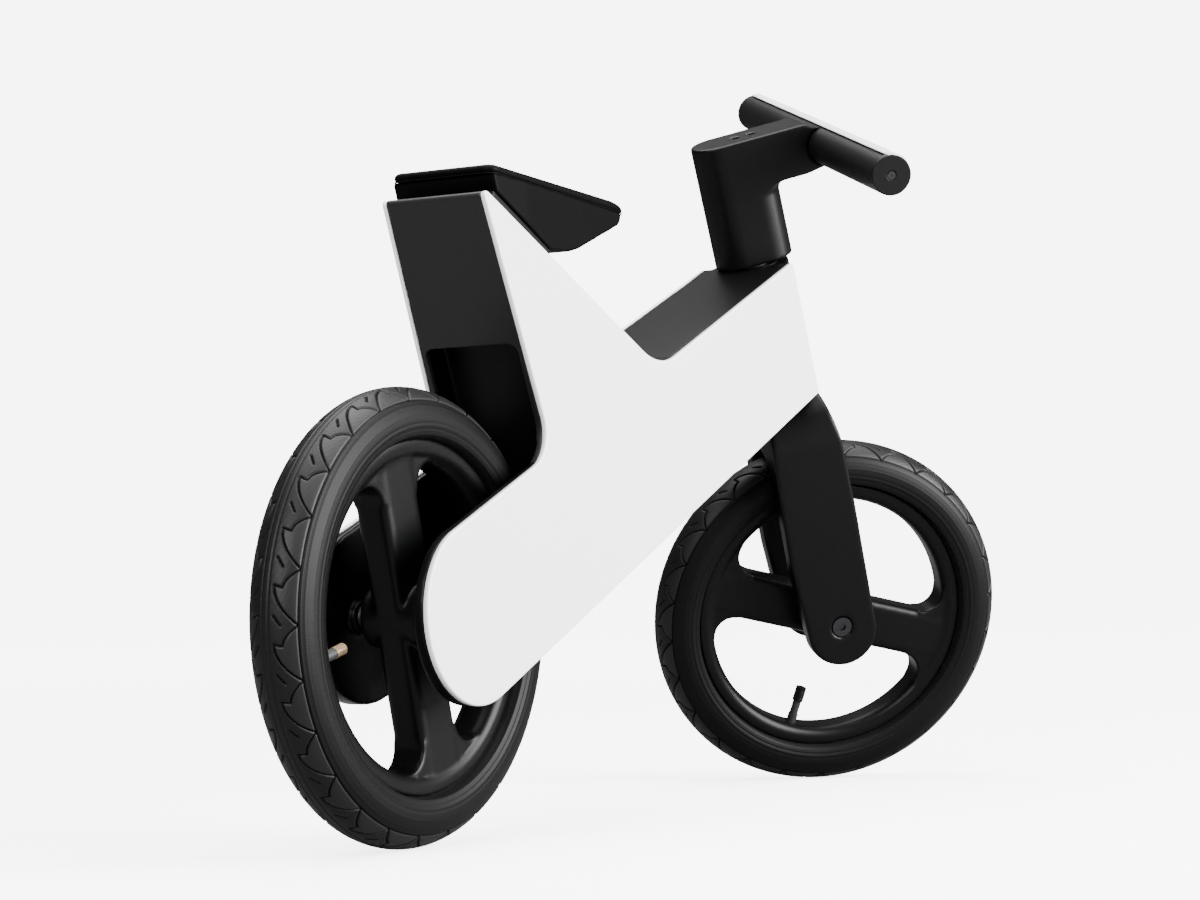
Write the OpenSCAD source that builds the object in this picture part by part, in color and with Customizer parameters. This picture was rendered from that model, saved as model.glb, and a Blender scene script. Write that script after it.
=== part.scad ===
// Child's balance bike: cast frame with two flat side panels, leaning fork,
// one-piece wheels with a single cross bar, pneumatic tyres, T-shaped steering
// and a wedge seat on a sliding post.
// Axes: +X forward, +Y to the rider's left, +Z up. Origin on the ground
// straight under the rear axle. The steering rests turned to the right.

/* [Wheels] */
// Outside diameter of the tyres
tyre_od = 290; // [270:2:310]
// Width of the tyres
tyre_width = 45; // [40:1:48]
// Distance between the axles with the steering straight
wheelbase = 610; // [580:5:640]
// Radius of the open space inside the rim
rim_open_r = 98.5; // [92:0.5:99]
// Width of the cross bar of each wheel
spoke_width = 39; // [30:1:46]
// Thickness of the cross bar of each wheel
spoke_depth = 25; // [20:1:28]
// Tilt of the front cross bar in the fork
front_spoke_turn = -29.5; // [-90:0.5:90]
// Tilt of the rear cross bar
rear_spoke_turn = 105; // [0:0.5:180]

/* [Steering] */
// Lean of the steering axis from upright
head_lean = 24; // [18:0.5:28]
// Turn of the steering to the right at rest
steer_rest = 48; // [0:1:60]
// Outside width over the fork legs
fork_width = 88; // [84:1:96]
// Gap between the fork legs
fork_gap = 55; // [53:1:58]
// Length of the handlebar without end caps
bar_length = 335; // [280:5:380]
// Diameter over the grips
grip_d = 30; // [26:0.5:34]
// Reach of the handlebar ahead of the steering axis
bar_reach = 73; // [50:1:90]
// Turn of the white strip from the front of the bar toward its top
strip_turn = 55; // [0:1:90]
// Height of the handlebar along the steering axis above the front axle
bar_rise = 382.5; // [370:0.5:395]

/* [Frame] */
// Width over the side panels at the top of the tower
frame_width = 80; // [78:1:90]
// Width over the side panels at the rear lobes
lobe_width = 96; // [90:1:104]
// Thickness of each side panel
panel_t = 3.4; // [2.5:0.1:4]
// Radius of the rear end of the panels
lobe_r = 57; // [52:1:60]
// Radius of the hollow corner behind the tower
tower_fillet = 25; // [15:1:35]
// Radius of the valley ahead of the seat
valley_fillet = 60; // [40:1:75]
// Thickness of the rear cover
cover_t = 3; // [2:0.5:4]

/* [Seat] */
// Width of the seat at the back
seat_width = 80; // [70:1:90]
// Diameter of the seat post
post_d = 25.4; // [22:0.1:27.2]
// Length of the seat post below the seat plate
post_l = 104; // [80:1:110]

/* [Hidden] */

tr = tyre_od / 2;              // tyre radius
tw = tyre_width / 2;           // tyre section radius
tc = tr - tw;                  // radius of the section's centre circle
// the turned, leaning wheel touches the ground on its shoulder
cz = sin(steer_rest) * sin(head_lean);
front_z = (tr - tw) * sqrt(1 - cz * cz) + tw;

// frame outline in the X-Z plane: corners before rounding
pT = [33, 419];                // tower, top rear
pK = [108.5, 251];             // hollow corner above the rear arm
pV = [259.3, 315.5];           // valley
pE = [479.1, 412.5];           // top front
pD = [516.6, 312.5];           // lower front
pQ = [11.2, 146];              // centre of the rear lobe
function unit(v) = v / norm(v);
function ang(v) = atan2(v[1], v[0]);
function tangent(p, c, r, s) = let(a = ang(p - c) + s * acos(r / norm(p - c)))
  c + r * [cos(a), sin(a)];
tK = tangent(pK, pQ, lobe_r * 0.996, 1);
tD = tangent(pD, pQ, lobe_r * 0.996, -1);
down = unit(pK - pT);          // down the tower's rear edge
inward = [-down[1], down[0]];  // from the rear edge into the tower
slope = unit(pV - pT);         // down the edge the seat stands on
hw = frame_width / 2;          // half width over the panels at the top
flare_k = (lobe_width - frame_width) / 2 / (pT[1] - pQ[1]);
flare_a = atan(flare_k);       // outward lean of each side panel
function half(z) = hw + (pT[1] - z) * flare_k;
bar_r = grip_d / 2;
steer_r = 15;                  // steerer tube radius
head_v0 = 194.6;               // lower end of the head along the axis
head_v1 = 302;                 // upper end of the head along the axis
seat_s = 60;                   // post position along the seat slope
slot_r = tr + 6;
arm_in = 36.6;                 // inner face of the rear arms
arm_out = half(tr) - panel_t - 0.1; // outer face of the arms at the axle
boss_in = 31;                  // inner face of the axle bosses
black = [0.06, 0.06, 0.065];
dark = [0.16, 0.16, 0.17];
white = [0.93, 0.93, 0.93];
metal = [0.6, 0.6, 0.62];

// ---- helpers ----
module front_axes() translate([wheelbase, 0, front_z]) rotate([0, -head_lean, 0]) children();
module steered() front_axes() rotate([0, 0, -steer_rest]) children();
// extrude an X-Z drawing across Y, centred
module across(w) rotate([90, 0, 0]) linear_extrude(w, center = true) children();
// circle centre and tangent points for an arc of radius r in the corner p
function arc_c(p, a, b, r) = p + unit(unit(a - p) + unit(b - p)) * r / sin(acos(unit(a - p) * unit(b - p)) / 2);
function arc_t(p, a, b, r) = p + unit(a - p) * r / tan(acos(unit(a - p) * unit(b - p)) / 2);
// what comes off a corner at p, between the edges to a and b, to round it
module corner(p, a, b, r) {
  c = arc_c(p, a, b, r);
  k = 1 + 2 / r;
  difference() {
    polygon([c, c + (arc_t(p, a, b, r) - c) * k, c + (p - c) * k, c + (arc_t(p, b, a, r) - c) * k]);
    // a hair over the tangent radius, so the arc crosses both edges cleanly
    translate(c) circle(r * 1.003, $fn = 128);
  }
}
module rounded_bar(l, w, r) {
  // stadium-cornered rectangle l x w centred on the origin
  square([l - 2 * r, w], center = true);
  square([l, w - 2 * r], center = true);
  for (x = [-1, 1], y = [-1, 1]) translate([x * (l / 2 - r), y * (w / 2 - r)]) circle(r, $fn = 48);
}
module ring(r0, r1, h) difference() {
  cylinder(r = r1, h = h, center = true, $fn = 96);
  cylinder(r = r0, h = h + 1, center = true, $fn = 96);
}

// ---- frame ----
module outline() difference() {
  union() {
    polygon([pT, arc_t(pK, pT, tK, tower_fillet), arc_c(pK, pT, tK, tower_fillet), arc_t(pK, tK, pT, tower_fillet),
      tK, pQ, tD, pD, pE,
      arc_t(pV, pE, pT, valley_fillet), arc_c(pV, pE, pT, valley_fillet), arc_t(pV, pT, pE, valley_fillet)]);
    translate(pQ) circle(lobe_r, $fn = 180);
  }
  translate(arc_c(pK, pT, tK, tower_fillet)) circle(tower_fillet * 1.003, $fn = 128);
  translate(arc_c(pV, pE, pT, valley_fillet)) circle(valley_fillet * 1.003, $fn = 128);
  corner(pT, pK, pV, 3);
  corner(pE, pV, pD, 3);
  corner(pD, pE, tD, 3);
}
// the panels lean outward toward the rear wheel
module left_side() translate([0, hw, pT[1]]) rotate([flare_a, 0, 0]) translate([0, -panel_t / 2, -pT[1]]) across(panel_t) outline();
module right_panel() color(white) mirror([0, 1, 0]) left_side();
module left_panel() color(white) left_side();
// everything between the panels, less a margin at each side
module between(margin) rotate([90, 0, 90]) linear_extrude(1400, center = true)
  polygon([[-half(0) + margin, 0], [half(0) - margin, 0], [half(500) - margin, 500], [-half(500) + margin, 500]]);
// lightening pockets under the panels: three outlines, each cut from its own depth outward
module pocket_all() polygon([[49.2, 405], [82.2, 331.5], [102.2, 338.3], [148.5, 235.2], [152, 190], [157, 166], [160, 158.5],
  [500, 312.7], [505, 316], [475.1, 403.1], [259.3, 307.8]]);
module pocket_mid() polygon([[49.2, 405], [82.2, 331.5], [102.2, 338.3], [148.5, 235.2], [152, 190], [157, 166], [160, 158.5],
  [497, 311.3], [455, 394.2], [259.3, 307.8]]);
module pocket_deep() polygon([[145, 358.5], [127.5, 350.5], [156, 287], [137, 276], [148.5, 235.2], [152, 190], [157, 166], [160, 158.5],
  [497, 311.3], [455, 394.2], [259.3, 307.8]]);
module pockets() for (s = [-1, 1]) {
  translate([0, s * 67, 0]) across(80) pocket_all();
  translate([0, s * 58.5, 0]) across(80) pocket_mid();
  translate([0, s * 42.5, 0]) across(80) pocket_deep();
}
module axle_slot() difference() {
  translate([0, 0, tr]) rotate([90, 0, 0]) cylinder(r = slot_r, h = 2 * arm_in, center = true, $fn = 240);
  for (s = [-1, 1]) translate([0, s * (boss_in + 5), tr]) rotate([90, 0, 0]) cylinder(r = 11, h = 10, center = true, $fn = 64);
}

// strip along the tower's rear edge, as thick as the cover
module cover_strip(t, extra) intersection() {
  difference() {
    outline();
    translate(inward * t) outline();
  }
  polygon([pT - inward * 10 - down * 10, pT + inward * 8 - down * 10, pT + inward * 8 + down * (150 + extra),
    pT + inward * 30 + down * (196 + extra), pT - inward * 24 + down * (196 + extra), pT - inward * 24 + down * 150]);
}
// the wheel well seen from behind: a pocket in the tower
module well(w, l, depth) {
  translate([pT[0], 0, pT[1]]) multmatrix([[inward[0], 0, down[0], 0], [0, 1, 0, 0], [inward[1], 0, down[1], 0], [0, 0, 0, 1]])
    translate([0, 0, 108 + l / 2]) rotate([0, 90, 0]) linear_extrude(depth, center = true) rounded_bar(l, w, 6);
}
module rear_cover() color(dark) difference() {
  intersection() {
    across(120) cover_strip(cover_t, 0);
    between(panel_t + 0.15);
  }
  well(71.6, 160, 30);
  translate([0, 0, tr]) rotate([90, 0, 0]) cylinder(r = slot_r + 0.4, h = 2 * arm_in + 0.6, center = true, $fn = 240);
}

module frame_core() color(black) difference() {
  union() {
    difference() {
      intersection() {
        across(120) difference() {
          outline();
          cover_strip(cover_t + 0.05, 0.4);
        }
        between(panel_t + 0.05);
      }
      pockets();
      axle_slot();
    }
    // nose of the head, tapering to a round front about the steering axis
    front_axes() translate([0, 0, head_v0 + 1]) linear_extrude(head_v1 - head_v0 - 1.5) {
      circle(29, $fn = 180);
      polygon([[-20, -35.6], [-9.4, -35.6], [13, -25.4], [13, 25.4], [-9.4, 35.6], [-20, 35.6]]);
    }
  }
  // wheel well
  well(72, 110, 46);
  // rear axle bores and bolt seats
  translate([0, 0, tr]) rotate([90, 0, 0]) cylinder(r = 5.04, h = 110, center = true, $fn = 64);
  for (s = [-1, 1]) translate([0, s * (arm_out + 2), tr]) rotate([90, 0, 0]) cylinder(r = 8.6, h = 10, center = true, $fn = 64);
  // steering bore and bearing seats
  front_axes() {
    translate([0, 0, head_v0 - 1]) cylinder(r = 17, h = head_v1 - head_v0 + 2, $fn = 96);
    translate([0, 0, head_v0 - 1]) cylinder(r = 21.02, h = 9.02, $fn = 96);
    translate([0, 0, head_v1 - 8.02]) cylinder(r = 21.02, h = 12, $fn = 96);
  }
  // seat post bore and clamp screw hole
  translate([pT[0], 0, pT[1]] + [slope[0], 0, slope[1]] * seat_s) post_axes() translate([0, 0, -post_l - 8]) cylinder(r = post_d / 2 + 0.06, h = post_l + 30, $fn = 96);
  clamp_axes() { cylinder(r = 3.02, h = 20, $fn = 48); translate([0, 0, 12]) cylinder(r = 5.4, h = 20, $fn = 48); }
}
// along the seat post, pointing up
module post_axes() rotate([0, -ang([-down[1], down[0]]), 0]) children();
// from the post outward through the front slope, square to the post
module clamp_axes() translate([pT[0], 0, pT[1]] + [slope[0], 0, slope[1]] * seat_s + [down[0], 0, down[1]] * 46)
  rotate([0, 90 - ang(inward), 0]) translate([0, 0, post_d / 2 + 0.3]) children();

module lower_head_bearing() color(metal) front_axes() translate([0, 0, head_v0 + 1 + 3.5]) ring(steer_r + 0.05, 21, 7);
module upper_head_bearing() color(metal) front_axes() translate([0, 0, head_v1 - 4.5]) ring(steer_r + 0.05, 21, 7);
module upper_head_ring() color(black) front_axes() translate([0, 0, head_v1 - 0.4]) ring(steer_r + 0.5, 20.9, 1.1);

module axle_rod(half) rotate([90, 0, 0]) difference() {
  cylinder(r = 5, h = 2 * half, center = true, $fn = 64);
  for (s = [-1, 1]) translate([0, 0, s * half]) cylinder(r = 3.04, h = 28, center = true, $fn = 48);
}
module axle_bolts(face, head) for (s = [-1, 1]) rotate([s * 90, 0, 0]) difference() {
  union() {
    translate([0, 0, face]) cylinder(r = 8, h = head, $fn = 64);
    translate([0, 0, face - 12]) cylinder(r = 3, h = 12.5, $fn = 48);
  }
  translate([0, 0, face + head - 1.8]) cylinder(r = 3.4, h = 4, $fn = 6);
}
module axle_spacers(a, b) for (s = [-1, 1]) translate([0, s * (a + b) / 2, 0]) rotate([90, 0, 0]) ring(5.04, 8, b - a);
module rear_axle() color(metal) translate([0, 0, tr]) axle_rod(arm_out - 3.3);
module rear_axle_bolts() color(metal) translate([0, 0, tr]) axle_bolts(arm_out - 2.95, 2.6);
module rear_axle_spacers() color(metal) translate([0, 0, tr]) axle_spacers(22.2, boss_in - 0.05);
module seat_clamp_screw() color(metal) clamp_axes() difference() {
  union() { cylinder(r = 3, h = 12.5, $fn = 48); translate([0, 0, 12.05]) cylinder(r = 5.2, h = 4, $fn = 48); }
  translate([0, 0, 13.4]) cylinder(r = 2.3, h = 5, $fn = 6);
}

// ---- steering ----
module fork_front() {   // seen from ahead: width and height
  difference() {
    union() {
      translate([-fork_width / 2, -40]) square([fork_width, 193]);
      for (s = [-1, 1]) translate([s * (fork_width / 2 - 40), 153]) circle(40, $fn = 128);
      translate([-(fork_width / 2 - 40), 100]) square([fork_width - 80, 93]);
    }
    translate([-fork_gap / 2, -50]) square([fork_gap, 174]);
    translate([0, 124]) circle(fork_gap / 2, $fn = 128);
  }
}
module fork_side() {    // seen from the side
  translate([0, 0, -4.5]) rotate([90, 0, 0]) cylinder(r = 28.8, h = 120, center = true, $fn = 128);
  across(120) polygon([[0, -4.5], tangent([-31, 60], [0, -4.5], 28.7, 1), [-31, 60], [-29, 119], [-26.5, 155], [-23, 193],
    [27, 193], [31.4, 155], [31.8, 103], tangent([31.8, 103], [0, -4.5], 28.7, -1)]);
}
module fork() color(black) steered() difference() {
  intersection() {
    rotate([0, 0, 90]) rotate([90, 0, 0]) linear_extrude(120, center = true) fork_front();
    union() fork_side();
  }
  translate([0, 0, 140]) cylinder(r = steer_r + 0.03, h = 80, $fn = 96);
  rotate([90, 0, 0]) cylinder(r = 5.04, h = 120, center = true, $fn = 64);
  for (s = [-1, 1]) translate([0, s * (fork_width / 2), 0]) rotate([90, 0, 0]) cylinder(r = 8.6, h = 10, center = true, $fn = 64);
}
module steerer_tube() color(metal) steered() difference() {
  translate([0, 0, 154]) cylinder(r = steer_r, h = 236, $fn = 96);
  translate([0, 0, 150]) cylinder(r = steer_r - 2.4, h = 244, $fn = 96);
}
module crown_race() color(metal) steered() translate([0, 0, 193.7]) ring(steer_r + 0.03, 20, 1.3);

module stem() color(black) steered() difference() {
  union() {
    // column, oval in plan
    translate([2.5, 0, 304.2]) linear_extrude(99) rounded_bar(62, 42, 20.99);
    // arm to the handlebar, easing down to the bar's own thickness
    across(42) polygon([[12, 364.5], [54, 364.5], [bar_reach + 2, bar_rise - 14.6], [bar_reach + 2, bar_rise + 14.6],
      [bar_reach - 4, bar_rise + 16.2], [bar_reach - 14, 403.2], [12, 403.2]]);
    // hollow corner under the arm
    intersection() {
      translate([12.5, 0, 355.5]) difference() {
        cylinder(r = 29.8, h = 9.5, $fn = 128);
        rotate_extrude($fn = 128) translate([29.85, 0]) circle(9, $fn = 96);
      }
      translate([12, -20.9, 350]) cube([40, 41.8, 20]);
    }
  }
  // seat for the handlebar
  translate([bar_reach, 0, bar_rise]) rotate([90, 0, 0]) cylinder(r = bar_r + 0.04, h = 80, center = true, $fn = 96);
  translate([bar_reach + 1, -40, bar_rise - 30]) cube([40, 80, 60]);
  // steerer bore and the two bolt wells in the top face
  translate([0, 0, 300]) cylinder(r = steer_r + 0.04, h = 90.2, $fn = 96);
  for (x = [7, 20]) translate([x, 0, 398]) cylinder(r = 3.6, h = 10, $fn = 48);
  for (x = [7, 20]) translate([x, 0, 391]) cylinder(r = 2.04, h = 10, $fn = 32);
}
module stem_bolts() color(metal) steered() for (x = [7, 20]) translate([x, 0, 0]) difference() {
  union() { translate([0, 0, 391.5]) cylinder(r = 2, h = 8, $fn = 32); translate([0, 0, 398.05]) cylinder(r = 3.4, h = 3.4, $fn = 48); }
  translate([0, 0, 399.8]) cylinder(r = 1.7, h = 4, $fn = 6);
}
module at_bar() steered() translate([bar_reach, 0, bar_rise]) rotate([90, 0, 0]) children();
module handlebar_tube() color(black) at_bar() difference() {
  union() {
    cylinder(r = 11.1, h = bar_length, center = true, $fn = 96);
    // thicker middle held by the stem
    cylinder(r = bar_r, h = 44, center = true, $fn = 120);
  }
  cylinder(r = 9, h = bar_length + 2, center = true, $fn = 96);
  bar_flat(24, 0);
}
// flat along the front of the grips for the cover strip
module bar_flat(w, over) rotate([0, 0, strip_turn]) translate([12.4 + over, -w / 2, -bar_length]) cube([20, w, 2 * bar_length]);
module bar_cover() color(white) at_bar() intersection() {
  rotate([0, 0, strip_turn]) translate([12.45, -11, -(bar_length / 2 - 6)]) cube([3.6, 22, bar_length - 12]);
  cylinder(r = 17.2, h = bar_length, center = true, $fn = 120);
}
module grip() at_bar() difference() {
  translate([0, 0, 22.1]) cylinder(r = bar_r, h = bar_length / 2 - 22.1, $fn = 120);
  cylinder(r = 11.14, h = bar_length, $fn = 96);
  bar_flat(24, 0);
}
module right_grip() color(black) grip();
module left_grip() color(black) at_bar() difference() {
  translate([0, 0, -bar_length / 2]) cylinder(r = bar_r, h = bar_length / 2 - 22.1, $fn = 120);
  translate([0, 0, -bar_length]) cylinder(r = 11.14, h = 2 * bar_length, $fn = 96);
  bar_flat(24, 0);
}
module end_cap() difference() {
  union() {
    translate([0, 0, bar_length / 2 + 0.05]) cylinder(r = bar_r, h = 2.2, $fn = 120);
    translate([0, 0, bar_length / 2 - 8]) cylinder(r = 8.96, h = 9, $fn = 96);
  }
  translate([0, 0, bar_length / 2 + 1]) cylinder(r = 3.4, h = 3, $fn = 48);
  translate([0, 0, bar_length / 2 - 10]) cylinder(r = 1.54, h = 20, $fn = 32);
}
module right_end_cap() color(black) at_bar() end_cap();
module left_end_cap() color(black) at_bar() mirror([0, 0, 1]) end_cap();
module end_cap_screws() color(metal) at_bar() for (s = [0, 1]) mirror([0, 0, s]) difference() {
  union() {
    translate([0, 0, bar_length / 2 - 7]) cylinder(r = 1.5, h = 8.5, $fn = 32);
    translate([0, 0, bar_length / 2 + 1.05]) cylinder(r = 3, h = 1, $fn = 48);
  }
  translate([0, 0, bar_length / 2 + 1.6]) cylinder(r = 1.3, h = 2, $fn = 6);
}
module front_axle() color(metal) steered() axle_rod(38.7);
module front_axle_bolts() color(metal) steered() axle_bolts(39.05, 4.2);
module front_axle_spacers() color(metal) steered() axle_spacers(22.2, fork_gap / 2 - 0.05);

// ---- wheels (axle along Y, cross bar along X, valve toward -Z) ----
module rim_section() difference() {
  translate([rim_open_r, -14.6]) square([112 - rim_open_r, 29.2]);
  for (q = [-1, 1]) corner([rim_open_r, q * 14.6], [rim_open_r, 0], [112, q * 14.6], 8);
  translate([103.6, -12.4]) square([20, 24.8]);
}
module spin() rotate([90, 0, 0]) rotate_extrude($fn = 240) children();
module wheel_casting() difference() {
  union() {
    spin() rim_section();
    // cross bar
    rotate([0, 90, 0]) linear_extrude(2 * rim_open_r + 3, center = true) rounded_bar(spoke_width, spoke_depth, 6);
    // flared ends of the cross bar
    intersection() {
      across(spoke_depth - 1) for (s = [-1, 1], q = [-1, 1]) flare(s, q);
      rotate([90, 0, 0]) cylinder(r = rim_open_r + 2, h = 40, center = true, $fn = 180);
    }
    // hub
    rotate([90, 0, 0]) cylinder(r = 20, h = 43.6, center = true, $fn = 96);
  }
  rotate([90, 0, 0]) cylinder(r = 8.5, h = 60, center = true, $fn = 64);
  for (s = [-1, 1]) translate([0, s * 18.2, 0]) rotate([90, 0, 0]) cylinder(r = 11.02, h = 7.4, center = true, $fn = 64);
  // valve hole
  translate([0, 0, -110]) cylinder(r = 4.2, h = 22, $fn = 48);
}
// corner of the wheel opening between bar edge and rim, rounded at 15 mm
module flare(s, q) {
  f = 15; y = spoke_width / 2;
  cx = sqrt(pow(rim_open_r - f, 2) - pow(y + f, 2));
  px = sqrt(pow(rim_open_r, 2) - pow(y, 2));
  a = atan2(y + f, cx);
  difference() {
    polygon([[s * cx, q * (y - 3)], [s * (px + 2), q * (y - 3)], [s * (rim_open_r + 1) * cos(a), q * (rim_open_r + 1) * sin(a)], [s * cx, q * (y + f)]]);
    translate([s * cx, q * (y + f)]) circle(f, $fn = 96);
  }
}
module hub_bearings() for (s = [-1, 1]) translate([0, s * 18.15, 0]) rotate([90, 0, 0]) ring(5.05, 11, 7);
module tyre() difference() {
  union() {
    spin() intersection() { translate([tc, 0]) circle(tw, $fn = 128); translate([113.4, -40]) square([80, 80]); }
    spin() polygon([[117, -19.6], [112.15, -16.4], [112.15, -12.3], [103.9, -12.3], [103.9, 12.3], [112.15, 12.3], [112.15, 16.4], [117, 19.6]]);
  }
  spin() intersection() { translate([tc, 0]) circle(tw - 3.6, $fn = 96); translate([113.6, -40]) square([80, 80]); }
  spin() translate([100, -9.4]) square([20, 18.8]);
}
module inner_tube() spin() translate([tc + 3.4, 0]) difference() {
  circle(tw - 7.3, $fn = 96);
  circle(tw - 8.8, $fn = 96);
}
module valve_stem() difference() {
  union() {
    translate([0, 0, -108]) cylinder(r = 4, h = 16.5, $fn = 48);
    translate([0, 0, -93]) cylinder(r = 3.4, h = 13, $fn = 48);
  }
  translate([0, 0, -86]) cylinder(r = 2.52, h = 12, $fn = 32);
}
// metal tip with the open end toward the hub
module valve_core() difference() {
  union() {
    translate([0, 0, -85.8]) cylinder(r = 2.5, h = 8, $fn = 32);
    translate([0, 0, -79.95]) cylinder(r = 3.6, h = 10, $fn = 64);
  }
  translate([0, 0, -76]) cylinder(r = 2.4, h = 12, $fn = 32);
}
module valve_cap() {
  translate([0, 0, -85.8]) cylinder(r = 2.5, h = 8, $fn = 32);
  translate([0, 0, -79.95]) cylinder(r = 4.3, h = 12, $fn = 48);
}
module fw() steered() rotate([0, -front_spoke_turn, 0]) children();
module rw() translate([0, 0, tr]) rotate([0, -rear_spoke_turn, 0]) mirror([0, 0, 1]) children();

module front_wheel_casting() color(black) fw() wheel_casting();
module front_hub_bearings() color(metal) fw() hub_bearings();
module front_tyre() color(dark) fw() tyre();
module front_inner_tube() color(black) fw() inner_tube();
module front_valve_stem() color(black) fw() valve_stem();
module front_valve_cap() color(black) fw() valve_cap();
module rear_wheel_casting() color(black) rw() wheel_casting();
module rear_hub_bearings() color(metal) rw() hub_bearings();
module rear_tyre() color(dark) rw() tyre();
module rear_inner_tube() color(black) rw() inner_tube();
module rear_valve_stem() color(black) rw() valve_stem();
module rear_valve_core() color([0.75, 0.6, 0.35]) rw() valve_core();

// ---- seat ----
sA = pT + slope * 16 + [0.45, 1];   // rear end of the seat plate
sB = pT + slope * 93 + [0.45, 1];   // front end of the seat plate
up = [-slope[1], slope[0]];
// seen from above: slight taper and round nose
module seat_plan(o, nose) {
  h = seat_width / 2 - o; n = h - 5;
  difference() {
    polygon([[sA[0] - 20, -h], [sA[0] + 40, -h], [nose, -n], [nose, n], [sA[0] + 40, h], [sA[0] - 20, h]]);
    for (s = [0, 1]) mirror([0, s, 0]) corner([nose, n], [sA[0] + 40, h], [nose, 0], 16);
  }
}
module seat_wedge() {
  difference() {
    polygon([sA + up * 5.1 + slope * 2, sB + up * 5.1, [145.5, 387.6], [158, 390.8], [215, 413], [226, 422.1], [48.5, 428.65], [48.8, 425.2]]);
    corner([145.5, 387.6], sB + up * 5.1, [158, 390.8], 10);
  }
}
module seat_shell() color(black) difference() {
  intersection() {
    across(120) seat_wedge();
    linear_extrude(500) seat_plan(0.6, 230);
  }
  for (d = [26, 86]) seat_bore(d);
}
module seat_bore(d) translate([sA[0], 0, sA[1]] + [slope[0], 0, slope[1]] * (d - 16)) rotate([0, -ang(-up), 0]) rotate([0, 90, 0])
  translate([0, 0, -14]) cylinder(r = 2.04, h = 15, $fn = 32);
module seat_plate() color(black) difference() {
  intersection() {
    across(120) polygon([sA, sB, sB + up * 5, sA + up * 5]);
    translate([0, 0, 0]) linear_extrude(500) seat_plan(2.4, 400);
  }
  translate([pT[0], 0, pT[1]] + [slope[0], 0, slope[1]] * seat_s) post_axes() translate([0, 0, -40]) cylinder(r = post_d / 2 + 0.04, h = 80, $fn = 96);
  for (d = [26, 86]) seat_bore(d);
}
module seat_pad() color(black) intersection() {
  across(120) difference() {
    polygon([[49.5, 428.75], [226, 422.2], [232, 422.8], [220, 429], [211, 429.7], [48.5, 435.2], [45, 433.4], [44.4, 431], [46, 428.9]]);
    corner([211, 429.7], [220, 429], [48.5, 435.2], 60);
  }
  linear_extrude(500) seat_plan(0, 233);
}
// cut off at the top along the seat plate
module seat_post() color(metal) difference() {
  translate([pT[0], 0, pT[1]] + [slope[0], 0, slope[1]] * seat_s) post_axes() difference() {
    translate([0, 0, -post_l]) cylinder(r = post_d / 2, h = post_l + 30, $fn = 96);
    translate([0, 0, -post_l - 1]) cylinder(r = post_d / 2 - 2.2, h = post_l - 20, $fn = 96);
  }
  across(80) polygon([sA + up * 4.4 - slope * 40, sA + up * 4.4 + slope * 160, sA + up * 90 + slope * 160, sA + up * 90 - slope * 40]);
}
module seat_screws() color(metal) for (d = [26, 86]) translate([sA[0], 0, sA[1]] + [slope[0], 0, slope[1]] * (d - 16)) rotate([0, -ang(-up), 0]) rotate([0, 90, 0])
  translate([0, 0, -13]) cylinder(r = 2, h = 12.8, $fn = 32);

frame_core();
right_panel();
left_panel();
rear_cover();
lower_head_bearing();
upper_head_bearing();
upper_head_ring();
rear_axle();
rear_axle_bolts();
rear_axle_spacers();
seat_clamp_screw();
fork();
steerer_tube();
crown_race();
stem();
stem_bolts();
handlebar_tube();
bar_cover();
left_grip();
right_grip();
left_end_cap();
right_end_cap();
end_cap_screws();
front_axle();
front_axle_bolts();
front_axle_spacers();
front_wheel_casting();
front_hub_bearings();
front_tyre();
front_inner_tube();
front_valve_stem();
front_valve_cap();
rear_wheel_casting();
rear_hub_bearings();
rear_tyre();
rear_inner_tube();
rear_valve_stem();
rear_valve_core();
seat_plate();
seat_shell();
seat_pad();
seat_post();
seat_screws();
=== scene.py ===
import math
import random

import bmesh
import bpy
import numpy as np
from mathutils import Matrix, Vector


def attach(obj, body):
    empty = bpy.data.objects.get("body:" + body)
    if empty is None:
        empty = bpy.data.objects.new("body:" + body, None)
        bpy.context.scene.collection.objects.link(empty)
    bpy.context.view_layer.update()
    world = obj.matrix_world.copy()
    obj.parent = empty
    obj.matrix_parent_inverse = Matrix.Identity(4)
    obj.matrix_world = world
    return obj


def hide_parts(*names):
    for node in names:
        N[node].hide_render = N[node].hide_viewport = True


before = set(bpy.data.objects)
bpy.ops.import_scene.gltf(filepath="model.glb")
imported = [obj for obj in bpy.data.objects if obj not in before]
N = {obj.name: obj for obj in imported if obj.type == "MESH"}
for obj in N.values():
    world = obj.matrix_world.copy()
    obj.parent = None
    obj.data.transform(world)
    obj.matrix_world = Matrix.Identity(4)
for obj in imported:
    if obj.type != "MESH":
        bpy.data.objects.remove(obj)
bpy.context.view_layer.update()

random.seed(7)
rng = np.random.default_rng(7)
MM = 0.001
rad = math.radians

# ------------------------------------------------------------------ geometry of the bike, as in the part
TYRE_R, TYRE_W = 145.0, 45.0
TW = TYRE_W / 2
TC = TYRE_R - TW
LEAN, STEER = rad(24), rad(48)
_cz = math.sin(STEER) * math.sin(LEAN)
FRONT = Vector((0.610, 0, ((TYRE_R - TW) * math.sqrt(1 - _cz * _cz) + TW) * MM))
REAR = Vector((0, 0, TYRE_R * MM))
STEERED = Matrix.Translation(FRONT) @ Matrix.Rotation(-LEAN, 4, "Y") @ Matrix.Rotation(-STEER, 4, "Z")
FRONT_WHEEL = STEERED @ Matrix.Rotation(rad(29.5), 4, "Y")
REAR_WHEEL = Matrix.Translation(REAR) @ Matrix.Rotation(rad(-105), 4, "Y") @ Matrix.Scale(-1, 4, (0, 0, 1))
BAR = STEERED @ Matrix.Translation((0.073, 0, 0.3825)) @ Matrix.Rotation(rad(90), 4, "X")


def v2(*a):
    return np.array(a, float)


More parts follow.
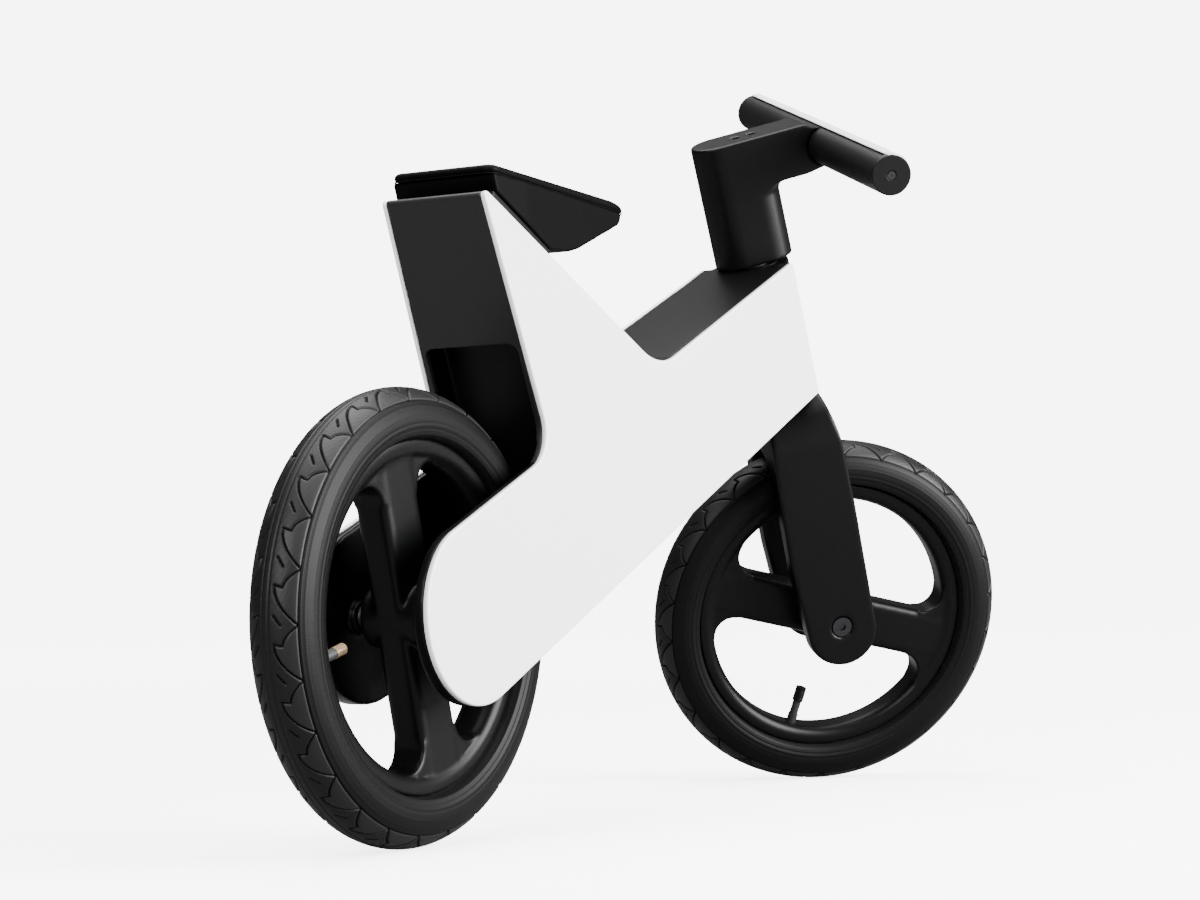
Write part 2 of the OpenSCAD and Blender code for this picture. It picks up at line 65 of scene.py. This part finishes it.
def unit(v):
    return v / np.linalg.norm(v)


PT, PK, PV, PE, PD, PQ = v2(33, 419), v2(108.5, 251), v2(259.3, 315.5), v2(479.1, 412.5), v2(516.6, 312.5), v2(11.2, 146)
HALF_TOP, FLARE = 40.0, math.atan(8.0 / 273.0)
LOBE = 57.0


def tangent(p, c, r, s):
    a = math.atan2(*(p - c)[::-1]) + s * math.acos(r / np.linalg.norm(p - c))
    return c + r * v2(math.cos(a), math.sin(a))


TK, TD = tangent(PK, PQ, LOBE, 1), tangent(PD, PQ, LOBE, -1)


def arc(p, a, b, r, n):
    """Points of the arc of radius r that rounds corner p, from the side of a to the side of b."""
    ua, ub = unit(a - p), unit(b - p)
    h = math.acos(float(ua @ ub)) / 2
    c = p + unit(ua + ub) * r / math.sin(h)
    t0, t1 = p + ua * r / math.tan(h), p + ub * r / math.tan(h)
    a0 = math.atan2(*(t0 - c)[::-1])
    d = math.atan2(*(t1 - c)[::-1]) - a0
    d = (d + math.pi) % (2 * math.pi) - math.pi
    return [c + r * v2(math.cos(a0 + d * i / n), math.sin(a0 + d * i / n)) for i in range(n + 1)]


def outline():
    pts = arc(PT, PV, PK, 3, 8)
    pts += arc(PK, PT, TK, 25, 24)
    a0 = math.atan2(*(TK - PQ)[::-1])
    a1 = math.atan2(*(TD - PQ)[::-1])
    d = (a1 - a0) % (2 * math.pi)
    pts += [PQ + LOBE * v2(math.cos(a0 + d * i / 90), math.sin(a0 + d * i / 90)) for i in range(91)]
    pts += arc(PD, TD, PE, 3, 8)
    pts += arc(PE, PD, PV, 3, 8)
    pts += arc(PV, PE, PT, 60, 40)
    return pts


# ------------------------------------------------------------------ helpers
def add_mesh(name, verts, faces, body, mat, smooth=True, matrix=None):
    me = bpy.data.meshes.new(name)
    me.from_pydata([tuple(v) for v in verts], [], faces)
    me.update()
    if matrix is not None:
        me.transform(matrix)
        if matrix.determinant() < 0:
            me.flip_normals()
    o = bpy.data.objects.new(name, me)
    bpy.context.scene.collection.objects.link(o)
    for p in me.polygons:
        p.use_smooth = smooth
    me.materials.append(mat)
    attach(o, body)
    return o


def soften(o, voxel, steps, factor=0.5):
    """Even re-meshing and smoothing, so that the edges of a casting are rounded as in the real one."""
    r = o.modifiers.new("even", "REMESH")
    r.mode = "VOXEL"
    r.voxel_size = voxel * MM
    r.use_smooth_shade = True
    s = o.modifiers.new("soft", "SMOOTH")
    s.factor = factor
    s.iterations = steps
    return o


def put(o, mat):
    o.data.materials.clear()
    o.data.materials.append(mat)
    return o


# ------------------------------------------------------------------ materials
def material(name, color, rough, *, metallic=0.0, grain=900.0, grain_h=0.02, spread=0.12, mottled=0.12,
             patch=9.0, coat=0.0, coat_rough=0.2, spec=0.5, stain=0.0):
    """Principled surface: base colour broken up by two noises, roughness patches and a fine bump."""
    m = bpy.data.materials.new(name)
    m.use_nodes = True
    nt = m.node_tree
    nt.nodes.clear()
    out = nt.nodes.new("ShaderNodeOutputMaterial")
    b = nt.nodes.new("ShaderNodeBsdfPrincipled")
    nt.links.new(b.outputs[0], out.inputs[0])
    co = nt.nodes.new("ShaderNodeTexCoord")
    big = nt.nodes.new("ShaderNodeTexNoise")
    big.inputs["Scale"].default_value = patch
    big.inputs["Detail"].default_value = 4
    fine = nt.nodes.new("ShaderNodeTexNoise")
    fine.inputs["Scale"].default_value = grain
    fine.inputs["Detail"].default_value = 3
    nt.links.new(co.outputs["Object"], big.inputs["Vector"])
    nt.links.new(co.outputs["Object"], fine.inputs["Vector"])
    mix = nt.nodes.new("ShaderNodeMix")
    mix.data_type = "RGBA"
    c0 = tuple(c * (1 - mottled) for c in color)
    c1 = tuple(min(1, c * (1 + mottled)) for c in color)
    mix.inputs["A"].default_value = (*c0, 1)
    mix.inputs["B"].default_value = (*c1, 1)
    add = nt.nodes.new("ShaderNodeMath")
    add.operation = "MULTIPLY_ADD"
    nt.links.new(big.outputs["Fac"], add.inputs[0])
    add.inputs[1].default_value = 0.7
    half = nt.nodes.new("ShaderNodeMath")
    half.operation = "MULTIPLY"
    nt.links.new(fine.outputs["Fac"], half.inputs[0])
    half.inputs[1].default_value = 0.3
    nt.links.new(half.outputs[0], add.inputs[2])
    nt.links.new(add.outputs[0], mix.inputs["Factor"])
    nt.links.new(mix.outputs["Result"], b.inputs["Base Color"])
    r = nt.nodes.new("ShaderNodeMapRange")
    nt.links.new(big.outputs["Fac"], r.inputs["Value"])
    r.inputs["To Min"].default_value = max(0.03, rough * (1 - spread))
    r.inputs["To Max"].default_value = min(1, rough * (1 + spread))
    nt.links.new(r.outputs[0], b.inputs["Roughness"])
    b.inputs["Metallic"].default_value = metallic
    b.inputs["Specular IOR Level"].default_value = spec
    b.inputs["Coat Weight"].default_value = coat
    b.inputs["Coat Roughness"].default_value = coat_rough
    if grain_h:
        bump = nt.nodes.new("ShaderNodeBump")
        bump.inputs["Strength"].default_value = 0.6
        bump.inputs["Distance"].default_value = grain_h * MM
        nt.links.new(fine.outputs["Fac"], bump.inputs["Height"])
        nt.links.new(bump.outputs[0], b.inputs["Normal"])
    return m


CAST = material("black_coat", (0.0014, 0.0014, 0.0015), 0.36, grain=1400, grain_h=0.04, spread=0.08, mottled=0.15, spec=0.12)
WHITE = material("white_coat", (0.87, 0.87, 0.87), 0.33, grain=1600, grain_h=0.008, spread=0.06, mottled=0.006, coat=0.25, coat_rough=0.18)
COVER = material("cover_coat", (0.0052, 0.0052, 0.0055), 0.42, grain=1500, grain_h=0.03, spread=0.06, mottled=0.08, spec=0.32)
RUBBER = material("tyre_rubber", (0.0040, 0.0040, 0.0042), 0.46, grain=1100, grain_h=0.08, spread=0.10, mottled=0.22, patch=14, spec=0.24)
GRIP = material("grip_rubber", (0.0020, 0.0020, 0.0021), 0.46, grain=2200, grain_h=0.06, spread=0.08, mottled=0.15, spec=0.16)
PLASTIC = material("black_plastic", (0.0020, 0.0020, 0.0021), 0.48, grain=1700, grain_h=0.04, spread=0.08, mottled=0.12, spec=0.12)
STEEL = material("dark_steel", (0.30, 0.30, 0.31), 0.34, metallic=1.0, grain=900, grain_h=0.01, spread=0.15, mottled=0.10)
BOLT = material("black_steel", (0.045, 0.045, 0.048), 0.34, metallic=1.0, grain=900, grain_h=0.01, spread=0.15, mottled=0.12)
ALLOY = material("black_anodised", (0.035, 0.035, 0.037), 0.32, metallic=0.6, grain=1200, grain_h=0.01, spread=0.1, mottled=0.08)
TUBE = material("tube_rubber", (0.0045, 0.0045, 0.0045), 0.55, grain=1100, grain_h=0.03, spread=0.1, mottled=0.15)
BRASS = material("brass", (0.40, 0.29, 0.17), 0.36, metallic=1.0, grain=800, grain_h=0.01, spread=0.2, mottled=0.10)


def skin():
    """Moulded seat skin: small leather cells in the bump, a little colour break-up."""
    m = material("seat_skin", (0.0008, 0.0008, 0.0009), 0.50, grain=1200, grain_h=0.0, spread=0.12, mottled=0.2, patch=18, spec=0.04)
    nt = m.node_tree
    b = [n for n in nt.nodes if n.type == "BSDF_PRINCIPLED"][0]
    co = nt.nodes.new("ShaderNodeTexCoord")
    v = nt.nodes.new("ShaderNodeTexVoronoi")
    v.feature = "DISTANCE_TO_EDGE"
    v.inputs["Scale"].default_value = 520
    nt.links.new(co.outputs["Object"], v.inputs["Vector"])
    bump = nt.nodes.new("ShaderNodeBump")
    bump.inputs["Strength"].default_value = 0.35
    bump.inputs["Distance"].default_value = 0.12 * MM
    nt.links.new(v.outputs["Distance"], bump.inputs["Height"])
    nt.links.new(bump.outputs[0], b.inputs["Normal"])
    return m


SKIN = skin()


def paint_groove_shade(m):
    """Painted shade: the bottom of a groove and the shaded bands of the tyre are painted darker and duller than the
    blocks beside them.
    """
    nt = m.node_tree
    b = [n for n in nt.nodes if n.type == "BSDF_PRINCIPLED"][0]
    src = b.inputs["Base Color"].links[0].from_socket
    at = nt.nodes.new("ShaderNodeAttribute")
    at.attribute_name = "groove"
    mx = nt.nodes.new("ShaderNodeMix")
    mx.data_type = "RGBA"
    nt.links.new(at.outputs["Fac"], mx.inputs["Factor"])
    nt.links.new(src, mx.inputs["A"])
    # painted shade colour, mixed in by the groove attribute
    mx.inputs["B"].default_value = (0.0006, 0.0006, 0.0006, 1)
    nt.links.new(mx.outputs["Result"], b.inputs["Base Color"])
    # painted shade also lowers the specular level, so the shaded places look duller
    sp = nt.nodes.new("ShaderNodeMapRange")
    nt.links.new(at.outputs["Fac"], sp.inputs["Value"])
    sp.inputs["To Min"].default_value = b.inputs["Specular IOR Level"].default_value
    sp.inputs["To Max"].default_value = 0.02
    nt.links.new(sp.outputs[0], b.inputs["Specular IOR Level"])


paint_groove_shade(RUBBER)

# ------------------------------------------------------------------ CAD nodes that are shown
LOOK = {
    "frame_core": (CAST, 1.1, 7), "rear_cover": (COVER, 0.7, 5), "fork": (CAST, 0.9, 60), "stem": (CAST, 0.8, 22),
    "front_wheel_casting": (CAST, 0.9, 34), "rear_wheel_casting": (CAST, 0.9, 34),
    "left_grip": (GRIP, 0.6, 4), "right_grip": (GRIP, 0.6, 4), "handlebar_tube": (CAST, 0.7, 2),
    "left_end_cap": (PLASTIC, 0.5, 3), "right_end_cap": (PLASTIC, 0.5, 3),
    "seat_shell": (SKIN, 0.8, 10), "seat_plate": (PLASTIC, 0.7, 4), "bar_cover": (WHITE, 0.5, 3),
}
for n, (mat, voxel, steps) in LOOK.items():
    put(N[n], mat)
    soften(N[n], voxel, steps)
PLAIN = {
    "lower_head_bearing": STEEL, "upper_head_bearing": STEEL, "upper_head_ring": PLASTIC, "rear_axle": STEEL, "rear_axle_bolts": STEEL,
    "rear_axle_spacers": STEEL, "seat_clamp_screw": BOLT, "steerer_tube": ALLOY, "crown_race": STEEL, "stem_bolts": BOLT,
    "end_cap_screws": BOLT, "front_axle": STEEL, "front_axle_bolts": BOLT, "front_axle_spacers": STEEL,
    "front_hub_bearings": STEEL, "front_inner_tube": TUBE, "front_valve_stem": TUBE, "front_valve_cap": PLASTIC,
    "rear_hub_bearings": STEEL, "rear_inner_tube": TUBE, "rear_valve_stem": TUBE, "rear_valve_core": BRASS,
    "seat_post": ALLOY, "seat_screws": STEEL,
}
for n, mat in PLAIN.items():
    put(N[n], mat)
    b = N[n].modifiers.new("edge", "BEVEL")
    b.width = 0.15 * MM
    b.segments = 2
    b.limit_method = "ANGLE"
    b.angle_limit = rad(40)
    b.use_clamp_overlap = True


# ------------------------------------------------------------------ side panels with rounded edges
def side_panel(name, sign, node):
    pts = outline()
    # drop points that fall on each other
    keep = [pts[0]]
    for p in pts[1:]:
        if np.linalg.norm(p - keep[-1]) > 0.05:
            keep.append(p)
    P = np.array(keep)
    if np.linalg.norm(P[0] - P[-1]) < 0.05:
        P = P[:-1]
    n = len(P)
    nxt, prv = np.roll(P, -1, 0), np.roll(P, 1, 0)
    t = nxt - prv
    t /= np.linalg.norm(t, axis=1)[:, None]
    area = 0.5 * np.sum(P[:, 0] * nxt[:, 1] - nxt[:, 0] * P[:, 1])
    inn = np.stack([-t[:, 1], t[:, 0]], 1) * (1 if area > 0 else -1)
    rings, R, T = [], 1.3, 3.4
    rings.append((0.0, 0.0))
    for i in range(7):
        a = math.pi / 2 * i / 6
        rings.append((R * (1 - math.cos(a)), T - R + R * math.sin(a)))
    verts, faces = [], []
    for ins, h in rings:
        q = P + inn * ins
        for x, z in q:
            yl, zl = h - T, z - 419
            verts.append((x * MM, sign * (HALF_TOP + yl * math.cos(FLARE) - zl * math.sin(FLARE)) * MM,
                          (419 + yl * math.sin(FLARE) + zl * math.cos(FLARE)) * MM))
    for r in range(len(rings) - 1):
        for i in range(n):
            j = (i + 1) % n
            faces.append((r * n + i, r * n + j, (r + 1) * n + j, (r + 1) * n + i))
    faces.append(tuple(range((len(rings) - 1) * n, len(rings) * n)))
    faces.append(tuple(range(n))[::-1])
    o = add_mesh(name, verts, faces, "frame", WHITE)
    bm = bmesh.new()
    bm.from_mesh(o.data)
    bmesh.ops.recalc_face_normals(bm, faces=bm.faces)
    for f in bm.faces:
        f.smooth = len(f.verts) == 4
    bm.to_mesh(o.data)
    bm.free()
    for e in o.data.edges:
        pass
    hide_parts(node)
    return o


side_panel("right_panel_skin", -1, "right_panel")
side_panel("left_panel_skin", 1, "left_panel")


# ------------------------------------------------------------------ tyres with a moulded tread
PITCHES = 26
PITCH = 2 * math.pi * TYRE_R / PITCHES
TIP, HOOK, SHOULDER = 5.6, 10.8, 20.8


def polyline(points):
    return [(np.array(points[i], float), np.array(points[i + 1], float)) for i in range(len(points) - 1)]


def tread_lines():
    """Grooves of one pitch, as (distance from the centre line, distance round the tyre) in mm, from a shoulder node to the next."""
    arcs = []
    u = np.linspace(0, 1, 12)
    arcs += polyline(np.stack([TIP + (SHOULDER - TIP) * (1 - u) ** 1.9, 0.68 * PITCH * u], 1))
    arcs += polyline([(TIP, 0.69 * PITCH), (8.2, 0.665 * PITCH), (HOOK, 0.65 * PITCH)])
    u = np.linspace(0, 1, 9)
    arcs += polyline(np.stack([HOOK + (SHOULDER - HOOK) * u ** 1.35, 0.65 * PITCH + 0.35 * PITCH * u ** 0.8], 1))
    dash = polyline([(5.8, 0.17 * PITCH), (10.0, 0.0)])
    return arcs, dash


def seg_dist(a, t, seg):
    p, q = seg
    d = q - p
    k = np.clip(((a - p[0]) * d[0] + (t - p[1]) * d[1]) / (d @ d), 0, 1)
    return np.hypot(a - p[0] - k * d[0], t - p[1] - k * d[1])


def groove(dist, half, depth):
    x = np.clip(dist / half, 0, 1)
    return depth * (1 - x * x * (3 - 2 * x))


def tyre(name, matrix, body, node):
    nt, ns = 1440, 150
    # section, from one bead over the crown to the other: angle from the crown
    edge = math.radians(114)
    ang = np.linspace(-edge, edge, ns)
    s = TW * ang
    theta = np.linspace(0, 2 * math.pi, nt, endpoint=False)
    tt = theta * TYRE_R
    S, Tm = np.meshgrid(s, tt, indexing="ij")
    A = np.abs(S)
    right = S > 0
    local = np.mod(Tm + np.where(right, 0, PITCH / 2), PITCH)
    drop = np.zeros_like(S)
    arcs, dash = tread_lines()
    for shift in (-PITCH, 0, PITCH):
        for seg in arcs:
            drop = np.maximum(drop, groove(seg_dist(A, local + shift, seg), 0.95, 1.45))
        for seg in dash:
            drop = np.maximum(drop, groove(seg_dist(A, local + shift, seg), 1.0, 1.3))
    drop = np.maximum(drop, groove(np.abs(A - SHOULDER), 0.9, 1.2))        # shoulder groove
    drop = np.maximum(drop, groove(np.abs(A - 2.3), 0.6, 0.7))          # pair of lines beside the crown
    # painted light and shade: the wedges between arcs and shoulder groove are painted lighter, as if they catch more
    # light than the centre; the centre is painted darker and the sidewall is painted the dullest
    f = local / PITCH
    edge1 = TIP + (SHOULDER - TIP) * np.clip(1 - f / 0.68, 0, 1) ** 1.9
    edge2 = HOOK + (SHOULDER - HOOK) * (np.clip((f - 0.65) / 0.35, 0, 1) ** 1.25) ** 1.35
    wedge = (A > np.where(f < 0.66, edge1, edge2)) & (A < SHOULDER)
    painted_shade = np.where(wedge, 0.0, np.where(A < SHOULDER, 0.30, 0.64))
    # painted shade: the deeper the groove, the darker its bottom is painted
    painted_shade = np.maximum(painted_shade, np.clip(drop / 1.1, 0, 1) ** 1.2)
    # sidewall: flat band, two raised lines, thin line over the bead
    drop = drop + 0.35 * np.clip((A - 21.6) / 0.8, 0, 1)
    for a0, w, h in ((25.2, 0.55, -0.28), (31.2, 0.5, -0.30), (36.6, 0.5, 0.35), (38.4, 0.6, -0.35), (40.6, 0.5, 0.35)):
        drop = drop + groove(np.abs(A - a0), w, h)
        # painted shade in the sidewall grooves
        if h > 0:
            painted_shade = np.maximum(painted_shade, groove(np.abs(A - a0), w * 1.3, 0.6))
    ang2 = S / TW
    # the section is a circle, sunk by the grooves and held at no less than the bead seat radius
    rr = TW - drop
    R = TC + rr * np.cos(ang2)
    Y = rr * np.sin(ang2)
    low = np.clip((R - 112.4) / 1.0, 0, None)
    R = np.maximum(R, 112.35)
    # small hairs of uneven moulding
    R = R + 0.03 * np.sin(Tm * 0.9 + S * 2.1) * (A < 20.5)
    x, z = R * np.cos(theta)[None, :], R * np.sin(theta)[None, :]
    V = np.stack([x, Y, z], -1).reshape(-1, 3)
    idx = np.arange(ns * nt).reshape(ns, nt)
    a = idx[:-1, :]
    b = idx[1:, :]
    F = np.stack([a, np.roll(a, -1, 1), np.roll(b, -1, 1), b], -1).reshape(-1, 4)
    # bead: run in to the rim and close the ring inside
    inner = [(112.3, 14.6), (112.2, 12.3), (104.6, 12.2), (104.2, 9.6), (113.0, 9.6), (114.5, 15.5), (122.5, 18.6), (135.0, 14.0), (141.0, 0.0)]
    ring_pts = [(r, y) for r, y in inner] + [(r, -y) for r, y in inner[::-1][1:]]
    base = len(V)
    extra = []
    for r, y in ring_pts:
        extra.append(np.stack([r * np.cos(theta), np.full(nt, y), r * np.sin(theta)], -1))
    V = np.concatenate([V] + extra)
    loops = [idx[-1, :]] + [base + k * nt + np.arange(nt) for k in range(len(ring_pts))] + [idx[0, :]]
    more = []
    for p, q in zip(loops[:-1], loops[1:]):
        more.append(np.stack([p, np.roll(p, -1), np.roll(q, -1), q], -1))
    F = np.concatenate([F] + more)
    o = add_mesh(name, V * MM, F.tolist(), body, RUBBER, matrix=matrix)
    # the groove attribute holds the painted light and shade mask of the tread and sidewall
    g = o.data.attributes.new("groove", "FLOAT", "POINT")
    vals = np.zeros(len(V), np.float32)
    vals[:ns * nt] = painted_shade.reshape(-1)
    g.data.foreach_set("value", vals)
    bm = bmesh.new()
    bm.from_mesh(o.data)
    bmesh.ops.recalc_face_normals(bm, faces=bm.faces)
    bm.to_mesh(o.data)
    bm.free()
    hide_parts(node)
    return o


tyre("rear_tyre_tread", REAR_WHEEL, "rear_wheel", "rear_tyre")
tyre("front_tyre_tread", FRONT_WHEEL, "front_wheel", "front_tyre")


# ------------------------------------------------------------------ seat cushion
def cushion():
    hw, nose, back, hn = 40.0, 232.0, 45.4, 35.0
    P = []
    corner = [(v2(back, -hw), v2(nose, -hn), v2(back, hw), 7.0), (v2(nose, -hn), v2(nose, hn), v2(back, -hw), 17.0),
              (v2(nose, hn), v2(back, hw), v2(nose, -hn), 17.0), (v2(back, hw), v2(back, -hw), v2(nose, hn), 7.0)]
    loops = []
    for p, a, b, r in corner:
        loops.append(arc(p, b, a, r, 14))
    pts = []
    for i, lp in enumerate(loops):
        pts += lp
        q = loops[(i + 1) % 4][0]
        d = np.linalg.norm(q - lp[-1])
        k = max(1, int(d / 3))
        pts += [lp[-1] + (q - lp[-1]) * j / k for j in range(1, k)]
    P = np.array(pts)
    n = len(P)
    nxt, prv = np.roll(P, -1, 0), np.roll(P, 1, 0)
    t = nxt - prv
    t /= np.linalg.norm(t, axis=1)[:, None]
    inn = np.stack([-t[:, 1], t[:, 0]], 1)
    if np.sum(P[:, 0] * nxt[:, 1] - nxt[:, 0] * P[:, 1]) < 0:
        inn = -inn

    def top(x):
        return 434.7 - (x - 47) * 0.0315 - 5.0 * np.clip((x - 203) / 29, 0, 1) ** 2

    def bot(x):
        return 428.75 - (x - 49.5) * 0.0371

    rings = []
    R = 3.6
    prof = [(3.2, 0.0), (1.5, 0.25), (0.5, 1.1), (0.0, 2.2)]
    for ins, h in prof:
        rings.append((ins, "b", h))
    for i in range(1, 8):
        a = math.pi / 2 * i / 7
        rings.append((R * (1 - math.cos(a)), "t", -R + R * math.sin(a)))
    verts = []
    for ins, ref, h in rings:
        q = P + inn * ins
        z = (bot(q[:, 0]) if ref == "b" else top(q[:, 0])) + h
        if ref == "t":
            z = np.maximum(z, bot(q[:, 0]) + 2.0 + ins * 0.2)
        for (x, y), zz in zip(q, z):
            verts.append((x * MM, y * MM, zz * MM))
    faces = []
    for r in range(len(rings) - 1):
        for i in range(n):
            j = (i + 1) % n
            faces.append((r * n + i, r * n + j, (r + 1) * n + j, (r + 1) * n + i))
    # top: rings shrinking to the middle, with a slight crown and soft unevenness
    c = v2(139.5, 0)
    q0 = P + inn * R
    steps = 14
    last = (len(rings) - 1) * n
    for k in range(1, steps):
        f = 1 - k / steps
        q = c + (q0 - c) * f
        crown = 1.1 * (1 - f * f)
        dish = 0.25 * np.sin(q[:, 0] * 0.045 + 0.8) * np.cos(q[:, 1] * 0.06) * (1 - f)
        z = top(q[:, 0]) + crown + dish
        b = len(verts)
        for (x, y), zz in zip(q, z):
            verts.append((x * MM, y * MM, min(zz, 435.9) * MM))
        for i in range(n):
            j = (i + 1) % n
            faces.append((last + i, last + j, b + j, b + i))
        last = b
    verts.append((c[0] * MM, 0, (top(c[0]) + 1.1) * MM))
    m = len(verts) - 1
    for i in range(n):
        faces.append((last + i, last + (i + 1) % n, m))
    # underside
    b0 = 0
    verts.append((c[0] * MM, 0, bot(c[0]) * MM))
    m2 = len(verts) - 1
    for i in range(n):
        faces.append((b0 + (i + 1) % n, b0 + i, m2))
    o = add_mesh("seat_cushion", verts, faces, "seat", SKIN)
    bm = bmesh.new()
    bm.from_mesh(o.data)
    bmesh.ops.recalc_face_normals(bm, faces=bm.faces)
    bm.to_mesh(o.data)
    bm.free()
    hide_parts("seat_pad")
    # welt along the seam
    cu = bpy.data.curves.new("seat_welt", "CURVE")
    cu.dimensions = "3D"
    cu.bevel_depth = 0.55 * MM
    cu.bevel_resolution = 3
    sp = cu.splines.new("POLY")
    q = P + inn * 0.55
    sp.points.add(len(q) - 1)
    for i, (x, y) in enumerate(q):
        sp.points[i].co = (x * MM, y * MM, (bot(np.array(x)) - 0.1) * MM, 1)
    sp.use_cyclic_u = True
    w = bpy.data.objects.new("seat_welt", cu)
    bpy.context.scene.collection.objects.link(w)
    cu.materials.append(SKIN)
    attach(w, "seat")


cushion()


# ------------------------------------------------------------------ valves: threads
def rings_on(name, matrix, body, r, z0, z1, step, mat):
    verts, faces = [], []
    k = int((z1 - z0) / step)
    seg = 36
    prof = []
    for i in range(k):
        z = z0 + i * step
        prof += [(r - 0.15, z), (r + 0.22, z + step * 0.5)]
    prof.append((r - 0.15, z0 + k * step))
    for rr, z in prof:
        for j in range(seg):
            a = 2 * math.pi * j / seg
            verts.append((rr * math.cos(a) * MM, rr * math.sin(a) * MM, z * MM))
    for i in range(len(prof) - 1):
        for j in range(seg):
            faces.append((i * seg + j, i * seg + (j + 1) % seg, (i + 1) * seg + (j + 1) % seg, (i + 1) * seg + j))
    faces.append(tuple(range(seg))[::-1])
    faces.append(tuple(range((len(prof) - 1) * seg, len(prof) * seg)))
    o = add_mesh(name, verts, faces, body, mat, smooth=False, matrix=matrix)
    return o


rings_on("rear_valve_thread", REAR_WHEEL, "rear_wheel", 3.5, -79.6, -70.4, 0.85, BRASS)
rings_on("front_valve_cap_ribs", FRONT_WHEEL, "front_wheel", 4.2, -79.0, -70.0, 1.0, PLASTIC)

# ------------------------------------------------------------------ stage
BACK, FLOOR_NEAR, FLOOR_FAR = 7.0, 3.9, 6.9
floor_mat = bpy.data.materials.new("floor")
floor_mat.use_nodes = True
ft = floor_mat.node_tree
ft.nodes.clear()
f_out = ft.nodes.new("ShaderNodeOutputMaterial")
f_mix = ft.nodes.new("ShaderNodeMixShader")
f_lp = ft.nodes.new("ShaderNodeLightPath")
f_dark = ft.nodes.new("ShaderNodeBsdfDiffuse")
f_dark.inputs["Color"].default_value = (0.22, 0.22, 0.22, 1)
f_pale = ft.nodes.new("ShaderNodeBsdfDiffuse")
f_pale.inputs["Color"].default_value = (0.86, 0.86, 0.86, 1)
f_glow = ft.nodes.new("ShaderNodeEmission")
f_add = ft.nodes.new("ShaderNodeAddShader")
f_co = ft.nodes.new("ShaderNodeTexCoord")
f_len = ft.nodes.new("ShaderNodeVectorMath")
f_len.operation = "LENGTH"
f_map = ft.nodes.new("ShaderNodeMapRange")
f_map.interpolation_type = "SMOOTHSTEP"
f_map.inputs["From Min"].default_value = 0.3
f_map.inputs["From Max"].default_value = 4.5
f_map.inputs["To Min"].default_value = FLOOR_NEAR
f_map.inputs["To Max"].default_value = FLOOR_FAR
ft.links.new(f_co.outputs["Object"], f_len.inputs[0])
ft.links.new(f_len.outputs["Value"], f_map.inputs["Value"])
ft.links.new(f_map.outputs[0], f_glow.inputs["Strength"])
ft.links.new(f_pale.outputs[0], f_add.inputs[0])
ft.links.new(f_glow.outputs[0], f_add.inputs[1])
ft.links.new(f_lp.outputs["Is Camera Ray"], f_mix.inputs[0])
ft.links.new(f_dark.outputs[0], f_mix.inputs[1])
ft.links.new(f_add.outputs[0], f_mix.inputs[2])
ft.links.new(f_mix.outputs[0], f_out.inputs[0])
me = bpy.data.meshes.new("floor")
g = 40
me.from_pydata([(-g, -g, 0), (g, -g, 0), (g, g, 0), (-g, g, 0)], [], [(0, 1, 2, 3)])
me.materials.append(floor_mat)
floor = bpy.data.objects.new("floor", me)
floor.location = (0, 0, -0.0006)
bpy.context.scene.collection.objects.link(floor)

world = bpy.data.worlds.new("studio")
bpy.context.scene.world = world
world.use_nodes = True
wt = world.node_tree
wt.nodes.clear()
wo = wt.nodes.new("ShaderNodeOutputWorld")
wm = wt.nodes.new("ShaderNodeMixShader")
lp = wt.nodes.new("ShaderNodeLightPath")
w0 = wt.nodes.new("ShaderNodeBackground")
w0.inputs[0].default_value = (0.5, 0.5, 0.5, 1)
w0.inputs[1].default_value = 0.35
w1 = wt.nodes.new("ShaderNodeBackground")
w1.inputs[1].default_value = 1.0
w1.inputs[0].default_value = (BACK, BACK, BACK, 1)
wt.links.new(lp.outputs["Is Camera Ray"], wm.inputs[0])
wt.links.new(w0.outputs[0], wm.inputs[1])
wt.links.new(w1.outputs[0], wm.inputs[2])
wt.links.new(wm.outputs[0], wo.inputs[0])


def area(name, loc, aim, size, power, size_y=None):
    l = bpy.data.lights.new(name, "AREA")
    l.energy = power
    l.size = size
    if size_y:
        l.shape = "RECTANGLE"
        l.size_y = size_y
    o = bpy.data.objects.new(name, l)
    o.location = loc
    o.rotation_euler = (Vector(aim) - Vector(loc)).to_track_quat("-Z", "Y").to_euler()
    bpy.context.scene.collection.objects.link(o)
    return o


area("top", (0.3, 0.0, 2.4), (0.3, 0, 0.2), 2.6, 190)
area("right", (0.9, -2.6, 1.1), (0.3, 0, 0.25), 2.2, 425, 1.8)
area("rear", (-2.6, -0.3, 1.5), (0.2, 0, 0.25), 1.6, 118)

# ------------------------------------------------------------------ camera: behind and to the right of the bike, almost level
cam = bpy.data.cameras.new("camera")
cam.sensor_width = 36
cam.lens = 80.356
co = bpy.data.objects.new("camera", cam)
bpy.context.scene.collection.objects.link(co)
AZ, EL, ROLL = rad(30.302), rad(2.850), rad(-0.807)
fwd = Vector((math.cos(EL) * math.cos(AZ), math.cos(EL) * math.sin(AZ), math.sin(EL)))
right0 = Vector((math.sin(AZ), -math.cos(AZ), 0))
up0 = right0.cross(fwd)
right = right0 * math.cos(ROLL) + up0 * math.sin(ROLL)
up = right.cross(fwd)
m = Matrix((right, up, -fwd)).transposed().to_4x4()
m.translation = Vector((-1.3944, -0.9582, 0.1643))
co.matrix_world = m
bpy.context.scene.camera = co
